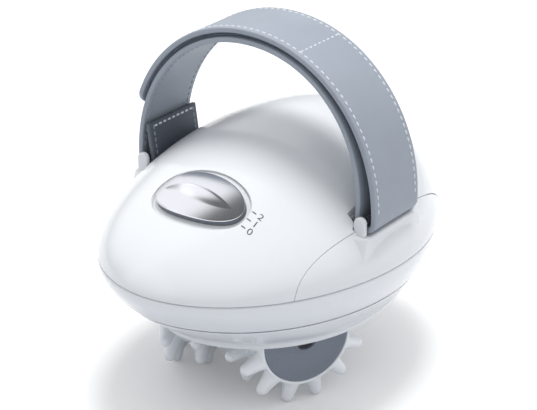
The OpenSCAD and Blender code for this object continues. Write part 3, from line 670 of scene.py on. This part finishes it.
for side in (1, -1):
    wall = drum("well_wall", WELL_R + WELL_T, -WELL_OUT - WELL_T, WELL_DEEP - WELL_LAP)
    carve(wall, block("above_rim", (-BEYOND, -BEYOND, RIM_Z), [BEYOND] * 3), "INTERSECT")
    ball_wall = carve(scoop_ball(SCOOP_R + WELL_T), copied(inside_base, "scoop_room"), "INTERSECT")
    well, scoop = drum("well", WELL_R, -WELL_OUT, WELL_DEEP), scoop_ball(SCOOP_R)
    carve(wall, well_room, "INTERSECT", keep=True)
    carve(well, well_reach, "INTERSECT", keep=True)
    if side < 0:
        for tool in (wall, ball_wall, well, scoop):
            turned_over(tool)
    carve(base, wall, "UNION")
    carve(base, ball_wall, "UNION")
    carve(base, well)
    carve(base, scoop)
for tool in (well_room, well_reach, inside_base):
    bpy.data.objects.remove(tool, do_unlink=True)
smooth(outward(base))
dress(base, white_plastic, replaces=["base_plate"])

# Switch knob: a bowed oval slider with a lens-shaped grip across it, moulded
# in one piece and lacquered in satin silver; its dark grey below the edge is painted shade.
KNOB_EDGE, KNOB_ROUND, KNOB_CROWN = 1.55 * MM, 0.5 * MM, 1.2 * MM
GRIP_HALF, GRIP_NEAR, GRIP_FAR, GRIP_H, GRIP_BOW = 14.4 * MM, 5.4 * MM, 1.3 * MM, 2.1 * MM, 1.8 * MM
GRIP_SHIFT, GRIP_FULL, CREST_ROUND, GRIP_HOLLOW, GRIP_BACK = 0.6 * MM, 0.75, 0.08, 1.7, 1.2


def knob_top(x, y, share):
    """Height of the knob's upper face, with the crest of its grip."""
    height = KNOB_EDGE + KNOB_CROWN * (1 - share ** 2)
    u = x / GRIP_HALF
    if abs(u) < 1:
        lens = 1 - u * u
        across = y - GRIP_BOW * lens + GRIP_SHIFT
        t = abs(across) / ((GRIP_FAR if across > 0 else GRIP_NEAR) * lens ** GRIP_FULL)
        if t < 1:
            far = (math.hypot(t, CREST_ROUND) - CREST_ROUND) / (math.hypot(1, CREST_ROUND) - CREST_ROUND)
            height += GRIP_H * lens ** GRIP_FULL * (1 - far) ** (GRIP_HOLLOW if across < 0 else GRIP_BACK)
    return height


KNOB_PLAY, KNOB_RINGS = 0.3 * MM, 60
knob_rings = flat(KNOB_PLAY - RECESS_H) + [(1, 0, 0.0), (1, 0, KNOB_EDGE - KNOB_ROUND)]
knob_rings += [(1, KNOB_ROUND * (1 - math.cos(q)), KNOB_EDGE - KNOB_ROUND * (1 - math.sin(q)))
               for q in quarter(5)[1:]]
knob_rings += [(1 - i / KNOB_RINGS, KNOB_ROUND, knob_top) for i in range(1, KNOB_RINGS)]
knob = bent_puck("switch_knob_skin", KNOB_W, KNOB_L, knob_rings, 256)
smooth(knob, 60)
silver = Look("silver_lacquer")
grain = silver.noise(1400.0, 2.0)
silver.set(Base_Color=rgb(222, 224, 230), Metallic=1.0, Roughness=0.2 + grain * 0.05)
dress(knob, silver, "switch", ["switch_knob"])
# The dark grey of the knob's side wall below its edge is painted shade.
knob_wall_painted_shade = Look("knob_wall_painted_shade")
matt = knob_wall_painted_shade.noise(1200.0, 3.0)
knob_wall_painted_shade.set(Base_Color=knob_wall_painted_shade.mix(matt, rgb(92, 98, 108), rgb(104, 110, 120)),
                Roughness=0.35 + matt * 0.1)
knob.data.materials.append(knob_wall_painted_shade.material)
# Faces below the rounded edge take the painted shade material.
track_back = TRACK.inverted()
for face in knob.data.polygons:
    face_place = track_back @ face.center
    bow = math.sqrt(TRACK_BOW ** 2 - face_place.x ** 2) - TRACK_BOW
    if face_place.z - bow < KNOB_EDGE - KNOB_ROUND:
        face.material_index = 1

# Strap: one band of grey imitation leather. It runs from its free end over the
# hand, round the right bar, back below itself and round the left bar.
LOOP_R, LOOP_SHIFT = 3.4 * MM, 0.6 * MM
TAPE_T, TAPE_PLAY = 0.74 * MM, 0.2 * MM
LAYER_GAP = STRAP_T + 2 * TAPE_T + TAPE_PLAY
ARC_Z = BAR_Z + 1.2 * MM
OVER_X, OVER_ROUND, HAND_GAP = -1.3 * MM, 2.05, 32 * MM
OVER_A = BAR_X + LOOP_R + LOOP_SHIFT - OVER_X
OVER_B = crown_z + HAND_GAP + 2 * STRAP_T + 2 * TAPE_T + TAPE_PLAY - STRAP_T / 2 - ARC_Z
FAR_R = OVER_A - OVER_X - LAYER_GAP - BAR_X


def over(q):
    """Point of the band's upper layer, seen from the front."""
    q = math.radians(q)
    return Vector((OVER_X + OVER_A * rounded(math.cos(q), OVER_ROUND),
                   ARC_Z + OVER_B * abs(math.sin(q)) ** (2 / OVER_ROUND)))


def inward(q):
    """Direction from the upper layer towards the hand."""
    d = (over(min(180, q + 2)) - over(max(0, q - 2))).normalized()
    return Vector((-d.y, d.x))


def under(q):
    """Point of the lower layer, which leaves the right bar's loop."""
    return over(q) + inward(q) * (LAYER_GAP + (2 * LOOP_R - LAYER_GAP) * max(0, 1 - q / 75) ** 2)


def even(points, step):
    """The same line with points at an even step."""
    lengths = [0.0]
    for a, b in zip(points, points[1:]):
        lengths.append(lengths[-1] + (b - a).length)
    count = max(2, round(lengths[-1] / step))
    result, k = [], 0
    for i in range(count + 1):
        goal = lengths[-1] * i / count
        while k < len(points) - 2 and lengths[k + 1] < goal:
            k += 1
        share = (goal - lengths[k]) / max(1e-9, lengths[k + 1] - lengths[k])
        result.append(points[k].lerp(points[k + 1], share))
    return result


def around(x, radius, q):
    """Point of the loop round a strap bar."""
    q = math.radians(q)
    return Vector((x + radius * math.cos(q), BAR_Z + radius * math.sin(q)))


FREE_END, FLAP_LEAN, FLAP_STEP = 164, 0.5 * MM, 3.4 * MM


def flap_at(i):
    """Point of the flap that comes up from the left bar."""
    return Vector((FAR_R - BAR_X - FLAP_LEAN * i, BAR_Z + FLAP_STEP * i))


band_line = [over(FREE_END - q / 2) for q in range(0, 2 * FREE_END + 1)]
band_line += [around(BAR_X + LOOP_SHIFT, LOOP_R, -4 * i) for i in range(1, 45)]
band_line += [under(q / 2) for q in range(0, 357)]
band_line += [around(-BAR_X, -FAR_R, 5 * i) for i in range(37)]
band_line += [flap_at(i) for i in range(1, 5)]


BAND_STEP, BAND_ACROSS = 1.2 * MM, 10


def band(name, line, width, thickness, round_edge, lift=0.0, tip=0.0):
    """Strip of the given width along a line seen from the front."""
    line = even(line, BAND_STEP)
    deselect()
    bpy.ops.mesh.primitive_grid_add(x_subdivisions=len(line) - 1, y_subdivisions=BAND_ACROSS, size=2,
                                    calc_uvs=True)
    made = active(name)
    total = sum((b - a).length for a, b in zip(line, line[1:]))
    for v in made.data.vertices:
        i = round((v.co.x + 1) / 2 * (len(line) - 1))
        w = v.co.y * width / 2
        d = (line[min(i + 1, len(line) - 1)] - line[max(i - 1, 0)]).normalized()
        travel = total * i / (len(line) - 1)
        if travel < tip:
            w *= math.sqrt(max(0.12, 1 - (1 - travel / tip) ** 2))
        p = line[i] + Vector((-d.y, d.x)) * lift
        v.co = (p.x, STRAP_Y + w, p.y)
    for loop, place in zip(made.data.loops, made.data.uv_layers[0].data):
        place.uv = (place.uv[0] * total, place.uv[1] * width)
    shape_with(made, "SOLIDIFY", thickness=thickness, offset=0)
    return smooth(soften(made, round_edge, 3, 50))


STRAP_ROUND, STRAP_TIP = 0.55 * MM, 9 * MM
strap = band("strap_leather", band_line, STRAP_W, STRAP_T, STRAP_ROUND, tip=STRAP_TIP)
leather = Look("grey_leather")
BAND_LONG = sum((b - a).length for a, b in zip(band_line, band_line[1:]))
FLAP_LONG, FLAP_FADE = 20 * MM, 4 * MM
where = leather.place()
cells = leather.node("ShaderNodeTexVoronoi", {"feature": "DISTANCE_TO_EDGE"}, {
    "Vector": where, "Scale": 1500.0})
creases = leather.noise(260.0, 4.0, where)
tone = leather.noise(45.0, 3.0, where)
# Painted shade: the band's last stretch, the flap, fades to a darker grey.
travelled = leather.node("ShaderNodeSeparateXYZ", {}, {0: leather.place("UV")})
flap = leather.node("ShaderNodeMapRange", {}, {
    "Value": travelled, "From Min": BAND_LONG - FLAP_LONG - FLAP_FADE, "From Max": BAND_LONG - FLAP_LONG})
leather.set(
    Base_Color=leather.mix(flap, leather.mix(tone, rgb(141, 149, 160), rgb(157, 165, 176)), rgb(84, 91, 102)),
    Roughness=0.42 + creases * 0.15,
    Normal=leather.bump(cells * 0.6 + creases * 0.7, 0.00012, 0.5))
dress(strap, leather, replaces=["strap_band"])

# Hook tape and loop tape: woven tapes sewn to the facing sides of the band,
# which hold it at the length that suits the hand.
TAPE_W, TAPE_ROUND, TAPE_LIFT = STRAP_W - 5 * MM, 0.15 * MM, (STRAP_T + TAPE_T) / 2 + TAPE_PLAY / 4
# Ends of the tapes along the band's arc, in half degrees.
TAPE_START, LOOP_END, HOOK_END = 304, 31, 115
loop_line = [over(q / 2) for q in range(TAPE_START, LOOP_END, -1)]
loop_tape = band("loop_tape", loop_line, TAPE_W, TAPE_T, TAPE_ROUND, lift=-TAPE_LIFT)
hook_line = [under(q / 2) - inward(q / 2) * TAPE_LIFT for q in range(TAPE_START, HOOK_END, -1)]
hook_tape = band("hook_tape", hook_line, TAPE_W, TAPE_T, TAPE_ROUND)
tape_look = Look("grey_tape")
fuzz = tape_look.noise(1800.0, 4.0)
tape_look.set(Base_Color=tape_look.mix(fuzz, rgb(112, 120, 132), rgb(140, 148, 160)),
              Roughness=0.9, Normal=tape_look.bump(fuzz, 0.0003, 0.8))
dress(loop_tape, tape_look, replaces=["strap_loop_tape"])
dress(hook_tape, tape_look, replaces=["strap_hook_tape"])

# Stitching: waxed thread sewn through the band. Pale rows run along the edges
# of the upper layer, across it and across the flap's end, grey ones along the
# edges of the lower layer and of the flap.
STITCH, STITCH_GAP, THREAD_R, THREAD_OVAL, SEAM_IN = 1.9 * MM, 0.8 * MM, 0.3 * MM, 1.2, 2.2 * MM
deselect()
bpy.ops.mesh.primitive_uv_sphere_add(segments=8, ring_count=6, radius=1)
bead = active("bead")
bead_mesh = bead.data.copy()
bpy.data.objects.remove(bead, do_unlink=True)
near_seam, far_seam = STRAP_Y - STRAP_W / 2 + SEAM_IN, STRAP_Y + STRAP_W / 2 - SEAM_IN
THREAD_SUNK = 0.02 * MM
lift = STRAP_T / 2 - THREAD_SUNK


def sew(name, look, places):
    """One mesh of beads, each put where a stitch stands out of the band."""
    seam = bmesh.new()
    for place in places:
        before = len(seam.verts)
        seam.from_mesh(bead_mesh)
        seam.verts.ensure_lookup_table()
        for v in seam.verts[before:]:
            v.co = place @ v.co
    made = bpy.data.objects.new(name, bpy.data.meshes.new(name))
    seam.to_mesh(made.data)
    seam.free()
    bpy.context.scene.collection.objects.link(made)
    made.data.polygons.foreach_set("use_smooth", [True] * len(made.data.polygons))
    dress(made, look)


def stitch_at(spot, y, along, outwards, length, thick, across):
    """Place of one stitch that lies along the band or across it."""
    way, side = Vector((along.x, 0, along.y)), Vector((0, 1, 0))
    if across:
        way, side = side, -way
    out = Vector((-along.y, 0, along.x))
    place = Matrix((way * length / 2, side * thick * THREAD_OVAL, out * thick)).transposed().to_4x4()
    place.translation = Vector((spot.x, y, spot.y)) + out * outwards
    return place


def edge_rows(line, outwards):
    line = even(line, STITCH + STITCH_GAP)
    return [stitch_at((a + b) / 2, y, (b - a).normalized(), outwards, STITCH, THREAD_R, False)
            for a, b in zip(line, line[1:]) for y in (near_seam, far_seam)]


def cross_row(spot, along, outwards, stitch, count=9):
    return [stitch_at(spot, near_seam + (far_seam - near_seam) * (k + 0.5) / count, along.normalized(),
                      outwards, *stitch, True) for k in range(count)]


pale_thread, grey_thread = Look("pale_thread"), Look("grey_thread")
for look, dark, light in ((pale_thread, (205, 210, 218), (225, 229, 235)),
                          (grey_thread, (138, 146, 157), (154, 161, 171))):
    look.set(Base_Color=look.mix(look.noise(2500.0, 2.0), rgb(*dark), rgb(*light)), Roughness=0.6)
CROSS_ROW, END_ROW, ROW_STITCH, END_STITCH = 68, 0.93, (1.7 * MM, 0.28 * MM), (2.0 * MM, 0.36 * MM)
flap_low, flap_high = flap_at(0.2), flap_at(3.8)
sew("seam_top", pale_thread, edge_rows([over(160 - q / 2) for q in range(0, 318)], lift))
sew("seam_inside", grey_thread, edge_rows([under(q / 2) for q in range(8, 357)], lift))
sew("seam_flap", grey_thread, edge_rows([flap_low, flap_high], -lift))
sew("seam_flap_end", pale_thread, cross_row(flap_low.lerp(flap_high, END_ROW), flap_high - flap_low, -lift,
                                            END_STITCH))
sew("seam_upper_row", pale_thread, cross_row(over(CROSS_ROW), over(CROSS_ROW - 0.5) - over(CROSS_ROW), lift,
                                             ROW_STITCH))

# Strap bars: bright steel pins between the ears. The screws, the motor's can
# and the shafts have the same zinc-plated finish.
steel_look = Look("bright_steel")
scratches = steel_look.noise(700.0, 5.0)
steel_look.set(Base_Color=rgb(188, 190, 194), Metallic=1.0, Roughness=0.22 + scratches * 0.12,
               Normal=steel_look.bump(scratches, 0.00002, 0.3))


def finish_nodes(look, *names):
    """Material of the CAD nodes that are shown as they are."""
    for name in names:
        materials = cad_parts[name].data.materials
        materials.clear()
        materials.append(look.material)


finish_nodes(steel_look, "strap_bar_right", "strap_bar_left", "base_screws", "motor_can", "motor_shaft",
             "roller_shaft_right", "roller_shaft_left")

# Roller sleeves: soft white plastic drums with two rings of round-tipped studs,
# moulded in one piece with them and slid over a turned core.
STUDS, DRUM_R, TIP_R, ROOT_R = 13, 18.3 * MM, 2.3 * MM, 3.5 * MM
ROOT_FLARE, ROOT_SUNK = 0.45 * MM, 0.4 * MM
RING_START, RING_PITCH = 3.7 * MM, 12 * MM
DISC_T, DISC_R = 2.2 * MM, 17.2 * MM


def spun(name, profile, rounds):
    """Solid of revolution about Z from a list of radii and heights."""
    form = bmesh.new()
    line = [form.verts.new((r, 0, z)) for r, z in profile]
    for a, b in zip(line, line[1:]):
        form.edges.new((a, b))
    made = bpy.data.objects.new(name, bpy.data.meshes.new(name))
    form.to_mesh(made.data)
    form.free()
    bpy.context.scene.collection.objects.link(made)
    edit(made)
    bpy.ops.mesh.spin(steps=rounds, angle=2 * math.pi, center=(0, 0, 0), axis=(0, 0, 1))
    done()
    return outward(made)


STUD_FOOT, FOOT_OUT = DRUM_R - 0.9 * MM, 0.5 * MM
stud_profile = [(0, STUD_FOOT), (ROOT_R + FOOT_OUT, STUD_FOOT)]
tip_z = STUD_REACH - TIP_R
for t in (i / 8 for i in range(9)):
    flare = ROOT_FLARE * max(0, 1 - 3.5 * t) ** 2
    stud_profile.append((ROOT_R + (TIP_R - ROOT_R) * t + flare,
                         DRUM_R - ROOT_SUNK + (tip_z - DRUM_R + ROOT_SUNK) * t))
stud_profile += [(TIP_R * math.cos(q), tip_z + TIP_R * math.sin(q)) for q in quarter(8)[1:-1]]
stud_profile.append((0, tip_z + TIP_R))
stud = spun("stud", stud_profile, 32)
BORE_R, SEAT_EDGE, DRUM_EDGE, DRUM_BEND = DRUM_R - 2.8 * MM, 0.3 * MM, 0.6 * MM, 0.15 * MM
sleeve = spun("roller_sleeve_right_skin", [
    (BORE_R, DISC_T), (DISC_R, DISC_T), (DISC_R, SEAT_EDGE), (DISC_R + SEAT_EDGE, 0),
    (DRUM_R - DRUM_EDGE, 0), (DRUM_R - DRUM_BEND, DRUM_BEND), (DRUM_R, DRUM_EDGE),
    (DRUM_R, ROLLER_L - DRUM_EDGE), (DRUM_R - DRUM_BEND, ROLLER_L - DRUM_BEND),
    (DRUM_R - DRUM_EDGE, ROLLER_L), (DISC_R, ROLLER_L), (DISC_R, ROLLER_L - DISC_T),
    (BORE_R, ROLLER_L - DISC_T), (BORE_R, DISC_T)], 160)
STUD_EDGE = 0.12 * MM
form = bmesh.new()
form.from_mesh(sleeve.data)
for ring in range(2):
    for k in range(STUDS):
        before = len(form.verts)
        form.from_mesh(stud.data)
        form.verts.ensure_lookup_table()
        turn = (Matrix.Translation((0, 0, RING_START + ring * RING_PITCH))
                @ Matrix.Rotation(math.radians(-90 + (k + 0.5) * 360 / STUDS), 4, "Z")
                @ Matrix.Rotation(math.pi / 2, 4, "Y"))
        for v in form.verts[before:]:
            v.co = turn @ v.co
            v.co.z = min(max(v.co.z, STUD_EDGE), ROLLER_L - STUD_EDGE)
form.to_mesh(sleeve.data)
form.free()
bpy.data.objects.remove(stud, do_unlink=True)
sleeve.data.transform(ROLLER)
smooth(sleeve, 35)
soft_white = Look("soft_white")
sheen = soft_white.noise(600.0, 3.0)
soft_white.set(Base_Color=soft_white.mix(sheen, rgb(234, 237, 241), rgb(240, 243, 246)),
               Roughness=0.28 + sheen * 0.1, Normal=soft_white.bump(sheen, 0.00002, 0.3))
sleeve_left = turned_over(copied(sleeve, "roller_sleeve_left_skin"))
dress(sleeve, soft_white, "right_roller", ["roller_sleeve_right"])
dress(sleeve_left, soft_white, "left_roller", ["roller_sleeve_left"])

# End discs: slate-grey covers that close both ends of each roller; the outer
# one has a round well in its middle for the end screw.
HOLE_R, DISC_SUNK, COLLAR_SUNK, RIM_SUNK = 4.3 * MM, 0.45 * MM, 0.2 * MM, 0.1 * MM
DISC_OUT, DISC_EDGE = DISC_R - 0.05 * MM, 0.3 * MM
HOLLOW_IN, HOLLOW_OUT = HOLE_R + 1.2 * MM, DISC_R - 2.0 * MM
disc = spun("outer_disc_right_skin", [
    (HOLE_R, DISC_T), (HOLE_R, COLLAR_SUNK + DISC_EDGE), (HOLE_R + DISC_EDGE, COLLAR_SUNK),
    (HOLE_R + 0.9 * MM, COLLAR_SUNK), (HOLLOW_IN, DISC_SUNK), (HOLLOW_OUT, DISC_SUNK),
    (DISC_R - 1.5 * MM, RIM_SUNK), (DISC_R - 0.35 * MM, RIM_SUNK), (DISC_OUT, RIM_SUNK + DISC_EDGE),
    (DISC_OUT, DISC_T), (HOLE_R, DISC_T)], 128)
disc.data.transform(ROLLER)
smooth(disc, 35)
slate = Look("slate_plastic")
speck = slate.noise(1300.0, 3.0)
slate.set(Base_Color=slate.mix(speck, rgb(112, 120, 132), rgb(124, 132, 144)),
          Roughness=0.42 + speck * 0.15, Normal=slate.bump(speck, 0.00004, 0.4))
disc_left = turned_over(copied(disc, "outer_disc_left_skin"))
dress(disc, slate, "right_roller", ["outer_disc_right"])
dress(disc_left, slate, "left_roller", ["outer_disc_left"])
finish_nodes(slate, "inner_disc_right", "inner_disc_left")

# End screws: a steel washer in the well of each outer disc, black as painted shade
# of the deep well, and, on it, the domed bright head of a socket screw that holds the roller on its shaft.
WASHER_T, HEAD_R, HEAD_H, HEAD_LIFT = 0.6 * MM, 2.6 * MM, 1.9 * MM, 0.1 * MM
SOCKET_R, SOCKET_CUT = 1.1 * MM, 1.8 * MM
WASHER_IN, WASHER_OUT, WASHER_EDGE = HEAD_R - 0.3 * MM, HOLE_R - 0.4 * MM, 0.15 * MM
washer_top = DISC_T - WASHER_T
washer = spun("washer_right", [
    (WASHER_IN, washer_top), (WASHER_OUT - WASHER_EDGE, washer_top), (WASHER_OUT, washer_top + WASHER_EDGE),
    (WASHER_OUT, DISC_T), (WASHER_IN, DISC_T), (WASHER_IN, washer_top)], 64)
head_top = DISC_T - HEAD_LIFT - HEAD_H
head = spun("screw_head_right", [(0, DISC_T), (HEAD_R, DISC_T)] + [
    (HEAD_R * math.cos(q), washer_top - (washer_top - head_top) * math.sin(q)) for q in quarter(8)[:-1]] + [
    (0, head_top)], 48)
deselect()
bpy.ops.mesh.primitive_cylinder_add(vertices=6, radius=SOCKET_R, depth=SOCKET_CUT, location=(0, 0, head_top))
carve(head, settle(active("socket")))
# The washer's near-black colour is painted shade of the well.
black = Look("washer_painted_shade")
dust = black.noise(1500.0, 3.0)
black.set(Base_Color=black.mix(dust, rgb(34, 38, 46), rgb(48, 52, 60)), Roughness=0.45 + dust * 0.1,
          Normal=black.bump(dust, 0.00002, 0.3))
for piece, look, name in ((washer, black, "washer_left"), (head, steel_look, "screw_head_left")):
    piece.data.transform(ROLLER)
    smooth(piece, 35)
    piece_left = turned_over(copied(piece, name))
    dress(piece, look, "right_roller", ["end_screw_right"])
    dress(piece_left, look, "left_roller", ["end_screw_left"])

# Inner works: turned cores, die-cast gearbox, nylon gears, bronze bushes,
# black switch parts, rubber cord gland and the circuit board. Each finish has
# its colour, metallic share, roughness, grain and the nodes that it is on.
inner_finishes = {
    "cast_aluminium": ((188, 190, 193), 1.0, 0.42, 500.0, (
        "roller_core_right", "roller_core_left", "gearbox_housing", "gearbox_cap")),
    "natural_nylon": ((226, 220, 200), 0.0, 0.45, 900.0, ("worm", "worm_wheel_right", "worm_wheel_left")),
    "bearing_bronze": ((190, 150, 95), 1.0, 0.4, 1200.0, ("shaft_bush_right", "shaft_bush_left")),
    "black_plastic": ((38, 38, 42), 0.0, 0.4, 900.0, ("switch_slider", "switch_body")),
    "grey_rubber": ((120, 124, 130), 0.0, 0.7, 900.0, ("cord_gland",)),
    "green_board": ((38, 98, 62), 0.0, 0.35, 300.0, ("circuit_board",)),
}
for name, (colour, metal, rough, scale, nodes) in inner_finishes.items():
    finish = Look(name)
    spots = finish.noise(scale, 3.0)
    dark = tuple(v * 0.94 for v in colour)
    finish.set(Base_Color=finish.mix(spots, rgb(*dark), rgb(*colour)), Metallic=metal,
               Roughness=rough + spots * 0.1, Normal=finish.bump(spots, 0.00003, 0.4))
    finish_nodes(finish, *nodes)

# Printed scale: a dash and a figure for each switch position beside the track,
# pad-printed on the top cover in grey ink.
FIGURE_X, FIGURE_SIZE, FIGURE_WIDE = 23.9 * MM, 3.3 * MM, 1.25
DASH_START, DASH_END, DASH_HALF = 20.3 * MM, 22.0 * MM, 0.2 * MM
INK_T, INK_LIFT = 0.02 * MM, 0.03 * MM
ink = Look("grey_ink")
blot = ink.noise(2000.0, 2.0)
ink.set(Base_Color=ink.mix(blot, rgb(70, 76, 86), rgb(84, 90, 100)), Roughness=0.5)
marks = []
for figure, y in (("0", -44.5 * MM), ("1", -41.3 * MM), ("2", -38.1 * MM)):
    deselect()
    bpy.ops.object.text_add(location=(0, 0, 0))
    text = bpy.context.object.data
    text.body, text.size, text.resolution_u = figure, FIGURE_SIZE, 6
    text.align_x = text.align_y = "CENTER"
    bpy.ops.object.convert(target="MESH")
    mark = active("mark_" + figure)
    for v in mark.data.vertices:
        v.co = Vector((v.co.x * FIGURE_WIDE + FIGURE_X, v.co.y + y, v.co.z))
    dash = block("dash_" + figure, (DASH_START, y - DASH_HALF, 0), (DASH_END, y + DASH_HALF, INK_T))
    marks += [mark, dash]
for mark in marks:
    for v in mark.data.vertices:
        v.co.z = dome_z(v.co.x, v.co.y) + INK_LIFT + v.co.z
    dress(mark, ink)
